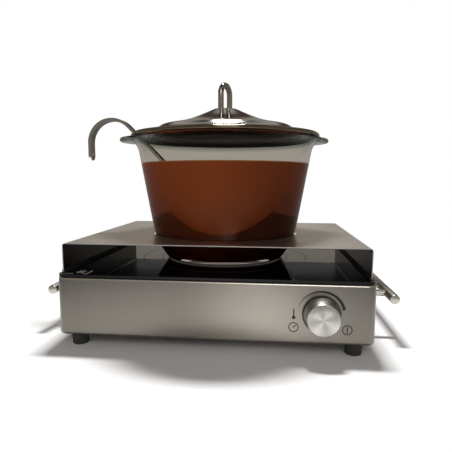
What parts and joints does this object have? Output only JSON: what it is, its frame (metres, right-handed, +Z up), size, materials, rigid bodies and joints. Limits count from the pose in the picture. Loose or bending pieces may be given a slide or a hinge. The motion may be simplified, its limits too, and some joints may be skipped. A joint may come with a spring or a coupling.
{
  "type": "candle melting pot",
  "caption": "Glass melting pot with a steel lid and ladle, standing through a steel bridge on a flat glass-ceramic heating plate with a control knob and side bars.",
  "frame": {"origin": "on the surface that the feet stand on, under the pot's axis, which is also the middle of the case", "axes": "+Z up, +Y from the knob's side to the cord's side, +X to the right as seen from the knob"},
  "size_m": [0.446, 0.345, 0.3316],
  "materials": {
    "brushed_case": "brushed stainless steel, grain along the width",
    "plated_steel": "zinc-plated sheet steel",
    "screw_steel": "turned steel",
    "hob_glass": "polished black glass ceramic with printed heating zones",
    "black_rubber": "soft matt black",
    "fibre_board": "pressed mineral fibre",
    "heating_ribbon": "oxidised resistance alloy",
    "quartz": "clear quartz tube",
    "white_ceramic": "unglazed ceramic",
    "lead_sleeve": "silicone sleeve",
    "green_board": "solder mask",
    "yellow_tape": "taped winding",
    "relay_case": "moulded",
    "capacitor_sleeve": "shrink sleeve",
    "cast_alloy": "extruded",
    "spun_alloy": "spun face, polished side",
    "black_plastic": "moulded, slightly textured",
    "satin_steel": "satin stainless steel, turned ends",
    "pot_glass": "clear borosilicate glass",
    "polished_steel": "polished stainless steel",
    "ladle_steel": "pressed stainless steel"
  },
  "bodies": {
    "hob": {"case_shell": "brushed_case", "base_plate": "plated_steel", "base_screws": "screw_steel", "glass_top": "hob_glass", "glass_seal": "black_rubber", "heater_dish": "plated_steel", "heater_insulation": "fibre_board", "heater_coil": "heating_ribbon", "heater_beam": "plated_steel", "heater_springs": "plated_steel", "limiter_rod": "quartz", "limiter_head": "white_ceramic", "heater_leads": "lead_sleeve", "terminal_block": "white_ceramic", "control_board": "green_board", "board_pillars": "screw_steel", "board_screws": "screw_steel", "transformer": "yellow_tape", "relays": "relay_case", "heat_sink": "cast_alloy", "capacitors": "capacitor_sleeve", "selector_body": "black_plastic", "selector_nut": "screw_steel", "knob_bezel": "black_plastic", "fan_frame": "black_plastic", "fan_screws": "screw_steel", "cord_gland": "black_plastic", "gland_nut": "black_plastic", "foot_front_left": "black_rubber", "foot_front_right": "black_rubber", "foot_back_left": "black_rubber", "foot_back_right": "black_rubber", "foot_screws": "screw_steel", "bar_left": "satin_steel", "bar_right": "satin_steel", "posts_left": "satin_steel", "posts_right": "satin_steel", "post_screws": "screw_steel"},
    "knob": {"selector_shaft": "screw_steel", "knob_core": "black_plastic", "knob_cap": "spun_alloy"},
    "fan": {"fan_rotor": "black_plastic"},
    "bridge": {"bridge": "brushed_case", "strip_left": "black_rubber", "strip_right": "black_rubber"},
    "pot": {"pot": "pot_glass"},
    "lid": {"lid_shell": "polished_steel", "lid_handle": "polished_steel", "lid_washers": "screw_steel", "lid_nuts": "screw_steel"},
    "ladle": {"ladle_handle": "ladle_steel", "ladle_bowl": "ladle_steel", "ladle_rivets": "screw_steel"}
  },
  "joints": [
    {"name": "knob_turn", "type": "hinge", "parent": "hob", "child": "knob", "pos_m": [0.124, -0.15, 0.0486], "axis": [0, 1, 0], "range_deg": [-135, 135]},
    {"name": "fan_spin", "type": "hinge", "parent": "hob", "child": "fan", "pos_m": [0.105, 0.084, 0.022], "axis": [0, 0, 1], "continuous": true},
    {"name": "bridge_lift", "type": "slide", "parent": "hob", "child": "bridge", "axis": [0, 0, 1], "range_m": [0, 0.06]},
    {"name": "pot_lift", "type": "slide", "parent": "bridge", "child": "pot", "axis": [0, 0, 1], "range_m": [0, 0.08]},
    {"name": "lid_lift", "type": "slide", "parent": "pot", "child": "lid", "axis": [0, 0, 1], "range_m": [0, 0.08]},
    {"name": "ladle_lift", "type": "slide", "parent": "pot", "child": "ladle", "axis": [-0.7073, 0, 0.7069], "range_m": [0, 0.08]}
  ]
}
